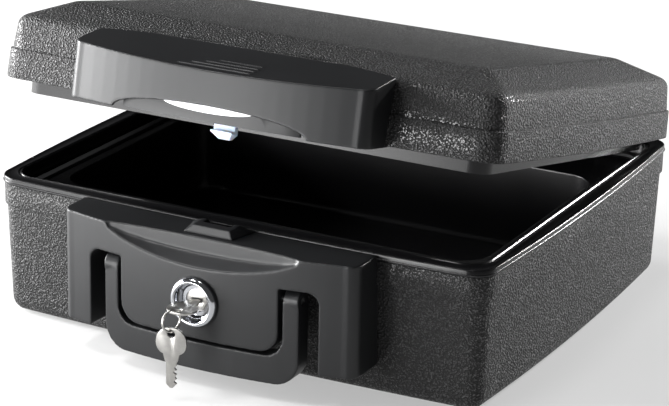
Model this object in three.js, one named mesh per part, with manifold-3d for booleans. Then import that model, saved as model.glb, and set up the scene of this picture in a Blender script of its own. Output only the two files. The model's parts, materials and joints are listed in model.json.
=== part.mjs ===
// Fire-resistant document chest: an insulated base and lid, a press latch, a cam lock and a carry handle.
// Millimetres, +Z up, front of the chest towards -Y. The origin is the middle of the flat underside.
import * as THREE from 'three';
import { ConvexGeometry } from 'three/addons/geometries/ConvexGeometry.js';
import { mergeVertices } from 'three/addons/utils/BufferGeometryUtils.js';
import Module from 'manifold-3d';

const wasm = await Module();
wasm.setup();

// ---------------------------------------------------------------- driving dimensions
const GAP = 0.3;                    // clearance between pieces that touch
const REACH = 60;                   // how far a cutting block runs past what it cuts
const RUNNING = 0.08;               // radial clearance of a turning fit
const SEAT = GAP + 0.02;            // clearance of a piece cut to fit over another

const chest = { halfWidth: 181.5, front: -155, back: 152, corner: 14, sideBow: 4.8, frontBow: 4.7 };
const base = {
  rim: 95, lip: 4.5, step: 75.4, bandInset: 1, stepInset: 2.5, footInset: 4.8, footRound: 10, wall: 3,
};
const lid = {
  bottom: 96, step: 115.3, shoulder: 135.7, top: 148.5, wall: 3, openAngle: 12.2,
  bandInset: 0.5, wallInset: 2, shoulderInset: 4, shoulderRound: 1.6,
};
const hipInset = { side: 32.3, front: 39.8, back: 47.3 };
const hinge = { y: 157, z: 95.5, knuckle: 4.2, pin: 2, centre: 105, half: 20, leaf: 2 };

const throat = { halfX: 168.5, front: -141.5, back: 139, corner: 15, floor: 84.5 };
const well = { halfX: 153, front: -112, back: 78, corner: 20, floor: 24 };
const tubWall = 2.5;
const tongue = { halfX: 164.5, front: -138, back: 135.5, corner: 12, bottom: 87, wall: 3 };
const recess = { halfX: 150, front: -109, back: 75, corner: 20, top: 124 };
const gasket = { outset: 1, width: 5, height: 1.8 };

const bow = { centre: -192.5, drop: 13, span: 100, halfWidth: 105, corner: 9 };
const panel = { bottom: 21, top: 94.2, wall: 3 };
const cover = { bottom: 95, frontTop: 127.5, slope: 0.235, wall: 2.5, back: -135, backEnd: -149 };
const arch = { half: 68, rise: 11 };
const scoop = { half: 70, depth: 15.8, setBack: 11.5, creaseZ: 84 };

const slot = { inner: 56, outer: 81.5, top: 74, corner: 8, sill: 31.5, sillCorner: 13, wall: 2.5 };
const handle = {
  inner: 58.8, outer: 69.2, bottom: 11, barTop: 29.5, outerCorner: 16, innerCorner: 12, depth: 13,
};
const handlePivot = { y: -180.6, z: 66, pin: 2 };
const outerPinEnd = handle.outer - 1;

const lock = { z: 56.3, plug: 7.33, body: 9.8, face: -190.4, back: -166 };
const cam = { front: -162.7, back: -160.7, reach: 19, hub: 7, tip: 4 };
const key = {
  halfBlade: 3.3, blade: 1.6, bow: 9.8, neck: 4.2, shoulder: 14, bowY: -207, holeY: -212, hole: 2.6,
};
const keyReach = { lock: 34.5, spare: 30.5 };   // from the bow's centre to the blade's tip
const keyCuts = [[4.5, 1.5], [7.5, 0.8], [10.5, 1.8], [13.5, 1.1]];   // distance from the tip, depth
const ring = { radius: 7, wire: 0.8, slack: 0.8, turn: THREE.MathUtils.degToRad(19) };
const hangingTurn = THREE.MathUtils.degToRad(12);

const latchPivot = { y: -172, z: 112, pin: 1.5, barrel: 4.5 };
const paddle = { half: 62, bottom: 95.8, top: 109, front: 4.6, thick: 2.4 };
const hook = {
  half: 7.5, front: -163.5, back: -159.5, nose: -167.5, bottom: 83.5, noseTop: 89, chamfer: 3.5,
};
const hookScrewZ = 103;
const fillPlug = { x: 70, y: 40, hole: 11, radius: 10.6, flange: 13, inner: 4.6 };
const strike = {
  slotHalf: 9.5, slotFront: -165.5, under: 90.5, top: 98.5,
  front: -177.5, frontHalf: 17.5, back: -156, backHalf: 22,
  topFront: -172.5, topBack: -160, topHalf: 13,
  seatHalf: 15.5, seatFront: -173.5, seatBack: -155.6,
};

// ---------------------------------------------------------------- materials
function surface(color, roughness, metalness = 0) {
  return new THREE.MeshStandardMaterial({ color, roughness, metalness });
}

const material = {
  texturedShell: surface('#1b1b1d', 0.62),
  smoothShell: surface('#151516', 0.32),
  satinPanel: surface('#1f2022', 0.42),
  insulation: surface('#b9b3a6', 0.95),
  seal: surface('#0d0d0e', 0.8),
  nylon: surface('#dfe6f2', 0.35),
  whitePad: surface('#f4f5f6', 0.3),
  chrome: surface('#d9dadd', 0.12, 1),
  nickel: surface('#c4c4c2', 0.28, 1),
  zinc: surface('#9a9b9d', 0.45, 1),
  hingeSteel: surface('#2a2b2d', 0.4, 0.8),
};

// ---------------------------------------------------------------- solids
function solid(geometry) {
  const plain = geometry.clone();
  for (const name of Object.keys(plain.attributes)) {
    if (name !== 'position') plain.deleteAttribute(name);
  }
  const merged = mergeVertices(plain, 1e-4);
  return new wasm.Manifold(new wasm.Mesh({
    numProp: 3,
    vertProperties: new Float32Array(merged.attributes.position.array),
    triVerts: new Uint32Array(merged.index.array),
  }));
}

function geometryOf(manifold) {
  const mesh = manifold.getMesh();
  const geometry = new THREE.BufferGeometry();
  geometry.setAttribute('position', new THREE.BufferAttribute(mesh.vertProperties, 3));
  geometry.setIndex(new THREE.BufferAttribute(mesh.triVerts, 1));
  return geometry;
}

function box(x0, x1, y0, y1, z0, z1) {
  const geometry = new THREE.BoxGeometry(x1 - x0, y1 - y0, z1 - z0);
  return solid(geometry.translate((x0 + x1) / 2, (y0 + y1) / 2, (z0 + z1) / 2));
}

function rodAlongX(radius, x0, x1, y, z, sides = 24) {
  const geometry = new THREE.CylinderGeometry(radius, radius, x1 - x0, sides).rotateZ(Math.PI / 2);
  return solid(geometry.translate((x0 + x1) / 2, y, z));
}

function rodAlongY(radius, y0, y1, x, z, sides = 24) {
  const geometry = new THREE.CylinderGeometry(radius, radius, y1 - y0, sides);
  return solid(geometry.translate(x, (y0 + y1) / 2, z));
}

function rodAlongZ(radius, z0, z1, x, y, sides = 24) {
  const geometry = new THREE.CylinderGeometry(radius, radius, z1 - z0, sides).rotateX(Math.PI / 2);
  return solid(geometry.translate(x, y, (z0 + z1) / 2));
}

// A plan outline (x, y) raised from z0 to z1.
function raise(outline, z0, z1) {
  const shape = outline instanceof THREE.Shape ? outline : new THREE.Shape(outline);
  const options = { depth: z1 - z0, bevelEnabled: false, curveSegments: 8 };
  const geometry = new THREE.ExtrudeGeometry(shape, options);
  return solid(geometry.translate(0, 0, z0));
}

// A front-view outline (x, z) run along Y from y0 to y1.
function runAlongY(shape, y0, y1) {
  const options = { depth: y1 - y0, bevelEnabled: false, curveSegments: 8 };
  return solid(new THREE.ExtrudeGeometry(shape, options).rotateX(Math.PI / 2).translate(0, y1, 0));
}

function revolveAboutY(profile, z, sides = 32) {
  const loop = [profile[0], ...profile.slice(1).reverse(), profile[0]];
  const closed = loop.map(([radius, y]) => new THREE.Vector2(radius, y));
  return solid(new THREE.LatheGeometry(closed, sides).translate(0, 0, z));
}

function hull(points) {
  return solid(new ConvexGeometry(points));
}

function level(outline, z) {
  return outline.map((point) => new THREE.Vector3(point.x, point.y, z));
}

// ---------------------------------------------------------------- outlines
// A rectangle with rounded corners whose sides and front may bow outwards.
function roundedPlan({ halfX, front, back, corner, sideBow = 0, frontBow = 0 }) {
  const halfY = (back - front - frontBow) / 2;
  const midY = (back + front + frontBow) / 2;
  const innerX = halfX - sideBow;
  const cornerSteps = 6;
  const sideSteps = 6;
  const corners = [[1, -1, -90], [1, 1, 0], [-1, 1, 90], [-1, -1, 180]];
  const points = [];
  for (const [signX, signY, start] of corners) {
    for (let step = 0; step <= cornerSteps; step++) {
      const angle = THREE.MathUtils.degToRad(start + (90 * step) / cornerSteps);
      const x = signX * (innerX - corner) + corner * Math.cos(angle);
      const y = signY * (halfY - corner) + corner * Math.sin(angle);
      points.push(new THREE.Vector2(x, y));
    }
  }
  const filled = points.flatMap((point, index) => {
    const next = points[(index + 1) % points.length];
    const straight = (index + 1) % (cornerSteps + 1) === 0;
    const count = straight && sideBow + frontBow > 0 ? sideSteps : 1;
    return Array.from({ length: count }, (_, part) => point.clone().lerp(next, part / count));
  });
  return filled.map(({ x, y }) => {
    const side = 1 + (sideBow / innerX) * (1 - (y / halfY) ** 2);
    const forward = frontBow * Math.max(0, -y / halfY) * (1 - (x / innerX) ** 2);
    return new THREE.Vector2(x * side, midY + y - forward);
  });
}

function chestPlan(inset, corner = Math.max(chest.corner - inset, 5)) {
  return roundedPlan({
    halfX: chest.halfWidth - inset,
    front: chest.front + inset,
    back: chest.back - inset,
    corner,
    sideBow: chest.sideBow,
    frontBow: chest.frontBow,
  });
}

function wellPlan(size, grow = 0) {
  return roundedPlan({
    halfX: size.halfX + grow,
    front: size.front - grow,
    back: size.back + grow,
    corner: size.corner + grow,
  });
}

function frontCurve(x) {
  return bow.centre + bow.drop * (x / bow.span) ** 2;
}

// The bowed front shared by the panel, the latch cover and the handle, closed off at backY.
function bowedPlan(inset, backY) {
  const radius = bow.corner - inset;
  const half = bow.halfWidth - inset;
  const reach = half - radius;
  const steps = 20;
  const cornerSteps = 8;
  const tilt = Math.atan((2 * bow.drop * reach) / bow.span ** 2);
  const points = [];
  for (let step = 0; step <= steps; step++) {
    const x = -reach + (2 * reach * step) / steps;
    points.push(new THREE.Vector2(x, frontCurve(x) + inset));
  }
  for (let step = 1; step <= cornerSteps; step++) {
    const angle = -Math.PI / 2 + tilt + ((Math.PI / 2 - tilt) * step) / cornerSteps;
    const y = frontCurve(reach) + inset + radius * Math.cos(tilt) + radius * Math.sin(angle);
    const x = half - radius * (1 - Math.cos(angle));
    points.push(new THREE.Vector2(x, y));
  }
  const rightCorner = points.slice(steps + 1);
  points.push(new THREE.Vector2(half, backY), new THREE.Vector2(-half, backY));
  const leftCorner = rightCorner.reverse().map(({ x, y }) => new THREE.Vector2(-x, y));
  return [...points, ...leftCorner];
}

// A curved slab that follows the bowed front, this far behind it and this thick.
function bowedSlab(inset, thick, half, z0, z1) {
  const steps = 12;
  const front = [];
  for (let step = 0; step <= steps; step++) {
    const x = -half + (2 * half * step) / steps;
    front.push(new THREE.Vector2(x, frontCurve(x) + inset));
  }
  const back = front.map(({ x, y }) => new THREE.Vector2(x, y + thick)).reverse();
  return raise([...front, ...back], z0, z1);
}

// ---------------------------------------------------------------- chest bodies
function hipPlan(grow) {
  return roundedPlan({
    halfX: chest.halfWidth - hipInset.side + grow,
    front: chest.front + hipInset.front - grow,
    back: chest.back - hipInset.back + grow,
    corner: 6,
    sideBow: 0.8,
    frontBow: 0.8,
  });
}

// The outside of the base below its lip, grown outwards by the given amount.
function baseBody(grow = 0) {
  const foot = [];
  for (const angle of [0, 25, 50, 70, 90]) {
    const turn = THREE.MathUtils.degToRad(angle);
    const inset = base.footInset + base.footRound * (1 - Math.sin(turn)) - grow;
    foot.push(...level(chestPlan(inset), base.footRound * (1 - Math.cos(turn))));
  }
  const lower = hull([...foot, ...level(chestPlan(base.stepInset - grow), base.step)]);
  const top = base.rim - base.lip - GAP;
  return lower.add(raise(chestPlan(base.bandInset - grow), base.step - grow, top));
}

function baseHollow(shrink = 0) {
  const floorInset = base.footInset + base.footRound + shrink;
  const sideInset = base.footInset + base.wall + shrink;
  return hull([
    ...level(chestPlan(floorInset), base.wall + shrink),
    ...level(chestPlan(sideInset), base.wall + base.footRound),
    ...level(chestPlan(base.stepInset + base.wall + shrink), base.rim),
  ]);
}

function lidBody(grow = 0) {
  const band = hull([
    ...level(chestPlan(-grow), lid.bottom - grow),
    ...level(chestPlan(lid.bandInset - grow), lid.step + grow),
  ]);
  const { shoulderInset, shoulderRound } = lid;
  const upper = hull([
    ...level(chestPlan(lid.wallInset - grow), lid.step - 2),
    ...level(chestPlan(shoulderInset - grow), lid.shoulder - shoulderRound),
    ...level(chestPlan(shoulderInset + shoulderRound - grow), lid.shoulder + grow),
    ...level(hipPlan(grow), lid.top + grow),
  ]);
  return band.add(upper);
}

function lidHollow(shrink = 0) {
  return hull([
    ...level(chestPlan(lid.shoulderInset + shrink), lid.bottom - 1),
    ...level(chestPlan(lid.shoulderInset + lid.wall + shrink), lid.shoulder - lid.wall),
    ...level(hipPlan(-2 - shrink), lid.top - lid.wall - shrink),
  ]);
}

// ---------------------------------------------------------------- screws
function screwAlongY({ x, z, headY, direction, length, head = 3, shank = 1.4 }) {
  const headThick = 1.6;
  const tip = headY + direction * length;
  const back = headY - direction * headThick;
  const body = rodAlongY(shank, Math.min(headY, tip), Math.max(headY, tip), x, z, 12);
  const cap = rodAlongY(head, Math.min(headY, back), Math.max(headY, back), x, z, 16);
  const driver = box(x - 1.7, x + 1.7, back - 0.7, back + 0.7, z - 0.4, z + 0.4);
  return body.add(cap).subtract(driver);
}

const hingeScrewX = [-12, 12];
const baseLeafScrewZ = 83;
const lidLeafScrewZ = 107;
const hingeScrewHole = 1.8;

const panelScrews = [-92, 92].flatMap((x) => [{ x, z: 32 }, { x, z: 82 }]);
const coverScrews = [-92, 92].map((x) => ({ x, z: 107 }));
const screwHole = 1.8;
const boss = 4.5;
const seatClearance = 0.6;          // from the wall's inner face to a screw head

function wallFront(x, inset) {
  const innerX = chest.halfWidth - chest.sideBow;
  return chest.front + inset + chest.frontBow * (x / innerX) ** 2;
}

// Just inside the hollow's front wall, which leans a little between its two levels.
function panelScrewSeat({ x, z }) {
  const low = base.wall + base.footRound;
  const rise = (z - low) / (base.rim - low);
  return wallFront(x, THREE.MathUtils.lerp(base.footInset, base.stepInset, rise) + base.wall) + seatClearance;
}

function coverScrewSeat({ x, z }) {
  const low = lid.bottom - 1;
  const rise = (z - low) / (lid.shoulder - lid.wall - low);
  return wallFront(x, lid.shoulderInset + lid.wall * rise) + seatClearance;
}

function drillForHinge(shell, side, z) {
  const holes = hingeScrewX.map((offset) => {
    const x = side * hinge.centre + offset;
    return rodAlongY(hingeScrewHole, chest.back - 3.5, chest.back + 5, x, z, 16);
  });
  return holes.reduce((drilled, hole) => drilled.subtract(hole), shell);
}

// ---------------------------------------------------------------- base pieces
function baseOuterShell() {
  let shell = baseBody().subtract(baseHollow());
  for (const { x, z } of panelScrews) {
    shell = shell.subtract(rodAlongY(screwHole, chest.front - 5, chest.front + 20, x, z, 16));
  }
  for (const side of [-1, 1]) {
    shell = drillForHinge(shell, side, baseLeafScrewZ);
    shell = shell.subtract(rodAlongZ(fillPlug.hole, -1, base.wall + 1, side * fillPlug.x, fillPlug.y));
  }
  return shell;
}

function baseFillPlug(side) {
  const stem = rodAlongZ(fillPlug.radius, 0.6, fillPlug.inner, side * fillPlug.x, fillPlug.y);
  return stem.add(rodAlongZ(fillPlug.flange, base.wall + GAP, fillPlug.inner, side * fillPlug.x, fillPlug.y));
}

function tubOutside(grow) {
  const throatBlock = raise(wellPlan(throat, tubWall + grow), throat.floor - tubWall - grow, base.rim);
  const wellBlock = raise(wellPlan(well, tubWall + grow), well.floor - tubWall - grow, throat.floor);
  return throatBlock.add(wellBlock);
}

function baseInnerTub() {
  const rim = raise(chestPlan(0), base.rim - base.lip, base.rim);
  const throatSpace = raise(wellPlan(throat), throat.floor, base.rim + 1);
  const draft = 3;
  const wellSpace = hull([
    ...level(wellPlan(well, -draft), well.floor),
    ...level(wellPlan(well), well.floor + 8),
    ...level(wellPlan(well), base.rim),
  ]);
  return rim.add(tubOutside(0)).subtract(throatSpace).subtract(wellSpace);
}

function baseInsulation() {
  const top = base.rim - base.lip - GAP;
  const trim = box(-250, 250, -250, 250, top, top + REACH);
  let fill = baseHollow(GAP).subtract(trim).subtract(tubOutside(GAP));
  for (const screw of panelScrews) {
    const seat = panelScrewSeat(screw);
    fill = fill.subtract(rodAlongY(boss, seat - 4, seat + 3, screw.x, screw.z, 16));
  }
  for (const side of [-1, 1]) {
    const pocket = fillPlug.flange + GAP;
    fill = fill.subtract(rodAlongZ(pocket, 0, fillPlug.inner + GAP, side * fillPlug.x, fillPlug.y));
  }
  return fill;
}

function baseGasket() {
  const z0 = throat.floor + GAP;
  const outer = raise(wellPlan(tongue, gasket.outset), z0, z0 + gasket.height);
  const inner = raise(wellPlan(tongue, gasket.outset - gasket.width), z0 - 1, z0 + gasket.height + 1);
  return outer.subtract(inner);
}

// ---------------------------------------------------------------- front panel
// The U-shaped channel that the handle lies in, seen from the front, grown by the given amount.
function channelShape(grow = 0) {
  const outer = slot.outer + grow;
  const inner = slot.inner - grow;
  const top = slot.top + grow;
  const sill = slot.sill + grow;
  const low = panel.bottom - REACH;
  const r = slot.corner;
  const s = slot.sillCorner;
  const shape = new THREE.Shape();
  shape.moveTo(-outer, low);
  shape.lineTo(outer, low);
  shape.lineTo(outer, top - r);
  shape.absarc(outer - r, top - r, r, 0, Math.PI / 2, false);
  shape.lineTo(inner, top);
  shape.lineTo(inner, sill + s);
  shape.absarc(inner - s, sill + s, s, 0, -Math.PI / 2, true);
  shape.lineTo(-inner + s, sill);
  shape.absarc(-inner + s, sill + s, s, -Math.PI / 2, -Math.PI, true);
  shape.lineTo(-inner, top);
  shape.lineTo(-outer + r, top);
  shape.absarc(-outer + r, top - r, r, Math.PI / 2, Math.PI, false);
  shape.closePath();
  return shape;
}

// The crescent finger scoop: an upright back face and a floor that slopes down to the front.
function scoopSpace(grow = 0) {
  const sections = 10;
  const above = panel.top + 2;
  const points = [];
  for (let index = 0; index <= sections; index++) {
    const angle = Math.PI * (index / sections);
    const x = -(scoop.half + grow) * Math.cos(angle);
    const reach = Math.sin(angle);
    const tipY = frontCurve(scoop.half) - 0.3;
    const backY = THREE.MathUtils.lerp(tipY, bow.centre + scoop.setBack, reach) + grow;
    const lowZ = panel.top - scoop.depth * reach - grow;
    const creaseZ = THREE.MathUtils.lerp(panel.top, scoop.creaseZ, reach) - grow;
    points.push(new THREE.Vector3(x, backY, above));
    points.push(new THREE.Vector3(x, backY - 0.6 * reach, creaseZ));
    points.push(new THREE.Vector3(x, bow.centre - 1.5, lowZ - 0.8 * reach));
    points.push(new THREE.Vector3(x, bow.centre - 1.5, above));
  }
  return hull(points);
}

function frontPanel() {
  const open = chest.front + 12;
  const channel = runAlongY(channelShape(), bow.centre - 10, open);
  const channelWalls = runAlongY(channelShape(slot.wall), bow.centre - 10, open + 1);
  const outside = raise(bowedPlan(0, open), panel.bottom, panel.top).subtract(channel).subtract(scoopSpace());
  const inside = raise(bowedPlan(panel.wall, open + 1), panel.bottom + panel.wall, panel.top - panel.wall);
  const hollow = inside.subtract(channelWalls).subtract(scoopSpace(panel.wall));
  let result = outside.subtract(hollow);
  for (const { x, z } of panelScrews) {
    const pillar = rodAlongY(boss, frontCurve(x) + 1.5, open, x, z, 16);
    result = result.add(pillar).subtract(rodAlongY(1.7, frontCurve(x) + 6, open + 1, x, z, 16));
  }
  for (const side of [-1, 1]) {
    const x0 = side > 0 ? slot.inner - 6 : -slot.inner - 1;
    result = result.subtract(rodAlongX(handlePivot.pin + GAP, x0, x0 + 7, handlePivot.y, handlePivot.z));
  }
  const notchHalf = strike.seatHalf + GAP;
  const notchFront = strike.seatFront - GAP;
  const strikeNotch = box(-notchHalf, notchHalf, notchFront, open + 1, strike.under - 5, panel.top + 1);
  const lockHole = rodAlongY(lock.body + 1.4, bow.centre - 5, -180, 0, lock.z, 32);
  return result.subtract(lockHole).subtract(strikeNotch).subtract(baseBody(SEAT)).subtract(rimBlock(SEAT));
}

function rimBlock(grow) {
  return raise(chestPlan(-grow), base.rim - base.lip - grow, base.rim + grow);
}

function strikeBlock() {
  const foot = panel.top + GAP;
  const corners = (half, y, z) => [new THREE.Vector3(-half, y, z), new THREE.Vector3(half, y, z)];
  const ramp = hull([
    ...corners(strike.frontHalf, strike.front, foot),
    ...corners(strike.backHalf, strike.back, foot),
    ...corners(strike.topHalf, strike.topFront, strike.top),
    ...corners(strike.topHalf, strike.topBack, strike.top),
  ]);
  const { seatHalf, seatFront, seatBack, slotHalf, slotFront, under } = strike;
  const seat = box(-seatHalf, seatHalf, seatFront, seatBack, under, foot + 0.5);
  const slotCut = box(-slotHalf, slotHalf, slotFront, slotFront + REACH, under - REACH, strike.top + 1);
  return ramp.add(seat).subtract(slotCut).subtract(rimBlock(SEAT));
}

function carryHandle() {
  const { inner, outer, bottom, barTop, outerCorner, innerCorner, depth } = handle;
  const shape = new THREE.Shape();
  shape.moveTo(-outer + outerCorner, bottom);
  shape.lineTo(outer - outerCorner, bottom);
  shape.absarc(outer - outerCorner, bottom + outerCorner, outerCorner, -Math.PI / 2, 0, false);
  shape.lineTo(outer, handlePivot.z);
  shape.lineTo(inner, handlePivot.z);
  shape.lineTo(inner, barTop + innerCorner);
  shape.absarc(inner - innerCorner, barTop + innerCorner, innerCorner, 0, -Math.PI / 2, true);
  shape.lineTo(-inner + innerCorner, barTop);
  shape.absarc(-inner + innerCorner, barTop + innerCorner, innerCorner, -Math.PI / 2, -Math.PI, true);
  shape.lineTo(-inner, handlePivot.z);
  shape.lineTo(-outer, handlePivot.z);
  shape.lineTo(-outer, bottom + outerCorner);
  shape.absarc(-outer + outerCorner, bottom + outerCorner, outerCorner, Math.PI, 1.5 * Math.PI, false);
  shape.closePath();
  let result = runAlongY(shape, bow.centre - 5, -160).intersect(bowedSlab(0.2, depth, 80, 0, 90));
  for (const side of [-1, 1]) {
    const x0 = side > 0 ? inner : -outer;
    const eye = rodAlongX(depth / 2, x0, x0 + outer - inner, handlePivot.y, handlePivot.z, 32);
    const bore = rodAlongX(handlePivot.pin + RUNNING, x0 - 1, x0 + 12, handlePivot.y, handlePivot.z);
    result = result.add(eye).subtract(bore);
  }
  return result;
}

function handlePin(side) {
  const x0 = side > 0 ? slot.inner - 5 : -outerPinEnd;
  return rodAlongX(handlePivot.pin, x0, x0 + outerPinEnd - slot.inner + 5, handlePivot.y, handlePivot.z);
}

// ---------------------------------------------------------------- lock and keys
function lockBezel() {
  return revolveAboutY([
    [16.2, -192.85], [16.2, -194.6], [15.3, -196.3], [13.8, -197.2], [12.6, -196.7],
    [10.15, -190.6], [10.15, -189.2], [10.9, -189.2], [10.9, -192.85],
  ], lock.z);
}

function lockBody() {
  const bore = lock.plug + 0.12;
  const { body, face, back, z } = lock;
  return revolveAboutY([[bore, face], [bore, back], [body, back], [body, face]], z);
}

function lockNut() {
  const plate = rodAlongY(13.5, -188.9, -185.6, 0, lock.z, 6);
  return plate.subtract(rodAlongY(lock.body + GAP, -190, -184, 0, lock.z, 32));
}

function lockPlug() {
  const plug = rodAlongY(lock.plug, lock.face + 0.5, cam.front - GAP, 0, lock.z, 32);
  const halfWide = key.halfBlade + GAP;
  const halfTall = key.blade / 2 + GAP;
  const keyway = box(-halfWide, halfWide, lock.face - 1, -168.3, lock.z - halfTall, lock.z + halfTall);
  return plug.subtract(keyway).subtract(rodAlongY(1.8, -167, -160, 0, lock.z, 16));
}

function lockCam() {
  const shape = new THREE.Shape();
  const lean = Math.asin((cam.hub - cam.tip) / cam.reach);
  const top = Math.PI / 2 - lean;
  shape.absarc(0, lock.z, cam.hub, top, 2 * Math.PI - top, false);
  shape.absarc(cam.reach, lock.z, cam.tip, -top, top, false);
  shape.closePath();
  return runAlongY(shape, cam.front, cam.back).subtract(rodAlongY(1.8, -165, -158, 0, lock.z, 16));
}

function camScrew() {
  return screwAlongY({ x: 0, z: lock.z, headY: cam.back + GAP, direction: -1, length: 6, head: 3.4 });
}

// A flat key in the XY plane, bow towards -Y, centred on the bow; the blade ends at bladeEnd.
function keyOutline(bladeEnd) {
  const { bow, neck, shoulder, halfBlade: w } = key;
  const steps = 30;
  const start = Math.asin(neck / bow);
  const points = [];
  for (let step = 0; step <= steps; step++) {
    const angle = Math.PI / 2 - start - ((2 * Math.PI - 2 * start) * step) / steps;
    const across = Math.sign(Math.cos(angle)) * Math.abs(Math.cos(angle)) ** 0.8;
    const along = Math.sign(Math.sin(angle)) * Math.abs(Math.sin(angle)) ** 0.9;
    points.push(new THREE.Vector2(bow * across * (1 + 0.07 * along), 0.92 * bow * along));
  }
  const shape = new THREE.Shape(points);
  shape.lineTo(-neck, shoulder - 1.5);
  shape.lineTo(-w, shoulder);
  shape.lineTo(-w, bladeEnd - 2.5);
  shape.lineTo(-w + 2.4, bladeEnd);
  shape.lineTo(w - 2.4, bladeEnd);
  shape.lineTo(w, bladeEnd - 2.5);
  for (const [fromTip, depth] of keyCuts) {
    shape.lineTo(w, bladeEnd - fromTip + 1.3);
    shape.lineTo(w - depth, bladeEnd - fromTip + 0.4);
    shape.lineTo(w - depth, bladeEnd - fromTip - 0.4);
    shape.lineTo(w, bladeEnd - fromTip - 1.3);
  }
  shape.lineTo(w, shoulder);
  shape.lineTo(neck, shoulder - 1.5);
  shape.closePath();
  const hole = new THREE.Path();
  hole.absarc(0, key.holeY - key.bowY, key.hole, 0, 2 * Math.PI, false);
  shape.holes.push(hole);
  return shape;
}

function keySolid(bladeEnd) {
  return raise(keyOutline(bladeEnd), -key.blade / 2, key.blade / 2);
}

function lockKey() {
  return keySolid(keyReach.lock).translate([0, key.bowY, lock.z]);
}

// ---------------------------------------------------------------- hinges
function hingeKnuckles(spans, leafY, z0, z1, side, bore) {
  const centre = side * hinge.centre;
  let leaf = box(centre - hinge.half, centre + hinge.half, leafY, leafY + hinge.leaf, z0, z1);
  for (const [from, to] of spans) {
    const barrel = rodAlongX(hinge.knuckle, centre + from, centre + to, hinge.y, hinge.z);
    const near = z0 > hinge.z ? z0 : z1;
    const [low, high] = [Math.min(near, hinge.z), Math.max(near, hinge.z)];
    const strap = box(centre + from, centre + to, leafY, leafY + hinge.leaf, low, high);
    leaf = leaf.add(barrel).add(strap);
  }
  return leaf.subtract(rodAlongX(bore, centre - 30, centre + 30, hinge.y, hinge.z));
}

const leafY = chest.back + GAP;
const outerKnuckles = [[-hinge.half, -8.8], [8.8, hinge.half]];
const middleKnuckle = [[-8.5, 8.5]];

function drillLeaf(leaf, side, z) {
  let drilled = leaf;
  for (const offset of hingeScrewX) {
    const x = side * hinge.centre + offset;
    drilled = drilled.subtract(rodAlongY(hingeScrewHole, leafY - 2, leafY + 4, x, z, 16));
  }
  return drilled;
}

function baseLeaf(side) {
  const leaf = hingeKnuckles(outerKnuckles, leafY, 77, 90, side, hinge.pin + 0.2);
  return drillLeaf(leaf, side, baseLeafScrewZ);
}

function lidLeaf(side) {
  const leaf = hingeKnuckles(middleKnuckle, leafY, 101, 113.5, side, hinge.pin + RUNNING);
  return drillLeaf(leaf, side, lidLeafScrewZ);
}

function hingePin(side) {
  const centre = side * hinge.centre;
  const shaft = rodAlongX(hinge.pin, centre - 21.5, centre + 21.5, hinge.y, hinge.z);
  return shaft.add(rodAlongX(3, centre + side * 22.1 - 0.9, centre + side * 22.1 + 0.9, hinge.y, hinge.z));
}

function hingeScrew(side, offset, z) {
  const headY = leafY + hinge.leaf + GAP;
  return screwAlongY({ x: side * hinge.centre + offset, z, headY, direction: -1, length: 5.5 });
}

// ---------------------------------------------------------------- lid pieces
function lidOuterShell() {
  let shell = lidBody().subtract(lidHollow());
  for (const { x, z } of coverScrews) {
    shell = shell.subtract(rodAlongY(screwHole, chest.front - 5, chest.front + 20, x, z, 16));
  }
  for (const side of [-1, 1]) {
    shell = drillForHinge(shell, side, lidLeafScrewZ);
  }
  return shell;
}

const flange = { bottom: 96.3, thick: 2.5, inset: 4.6 };

function panOutside(grow) {
  const top = recess.top + tubWall + grow;
  return raise(wellPlan(recess, tubWall + grow), flange.bottom, top);
}

function lidInnerShell() {
  const plate = raise(chestPlan(flange.inset), flange.bottom, flange.bottom + flange.thick);
  const outer = raise(wellPlan(tongue), tongue.bottom, flange.bottom + flange.thick);
  const inner = raise(wellPlan(tongue, -tongue.wall), tongue.bottom - 1, flange.bottom);
  const space = hull([
    ...level(wellPlan(recess), flange.bottom - 1),
    ...level(wellPlan(recess), recess.top - 8),
    ...level(wellPlan(recess, -3), recess.top),
  ]);
  return plate.add(outer).subtract(inner).add(panOutside(0)).subtract(space);
}

function lidInsulation() {
  const bottom = flange.bottom + flange.thick + GAP;
  const trim = box(-250, 250, -250, 250, bottom - REACH, bottom);
  let fill = lidHollow(GAP).subtract(trim).subtract(panOutside(GAP));
  for (const screw of coverScrews) {
    const seat = coverScrewSeat(screw);
    fill = fill.subtract(rodAlongY(boss, seat - 4, seat + 3, screw.x, screw.z, 16));
  }
  return fill;
}

// ---------------------------------------------------------------- latch cover
// Everything above the cover's sloping top, lowered by the given amount.
function aboveCover(lower) {
  const y0 = bow.centre - 10;
  const y1 = -100;
  const topAt = (y) => cover.frontTop - lower + cover.slope * (y - bow.centre);
  const shape = [[y0, topAt(y0)], [y1, topAt(y1)], [y1, 250], [y0, 250]];
  const outline = new THREE.Shape(shape.map(([y, z]) => new THREE.Vector2(y, z)));
  const geometry = new THREE.ExtrudeGeometry(outline, { depth: 240, bevelEnabled: false });
  return solid(geometry.rotateX(Math.PI / 2).rotateZ(Math.PI / 2).translate(-120, 0, 0));
}

function coverPlan() {
  const outline = bowedPlan(0, cover.backEnd);
  const backIndex = outline.findIndex(({ x, y }) => x > 0 && y === cover.backEnd);
  const steps = 10;
  const arc = [];
  for (let step = 1; step < steps; step++) {
    const x = bow.halfWidth * (1 - (2 * step) / steps);
    arc.push(new THREE.Vector2(x, THREE.MathUtils.lerp(cover.back, cover.backEnd, (x / bow.halfWidth) ** 2)));
  }
  return [...outline.slice(0, backIndex + 1), ...arc, ...outline.slice(backIndex + 1)];
}

function archShape() {
  const shape = new THREE.Shape();
  shape.moveTo(-arch.half, cover.bottom - 5);
  shape.lineTo(arch.half, cover.bottom - 5);
  shape.lineTo(arch.half, cover.bottom);
  shape.absellipse(0, cover.bottom, arch.half, arch.rise, 0, Math.PI, false);
  shape.closePath();
  return shape;
}

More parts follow.
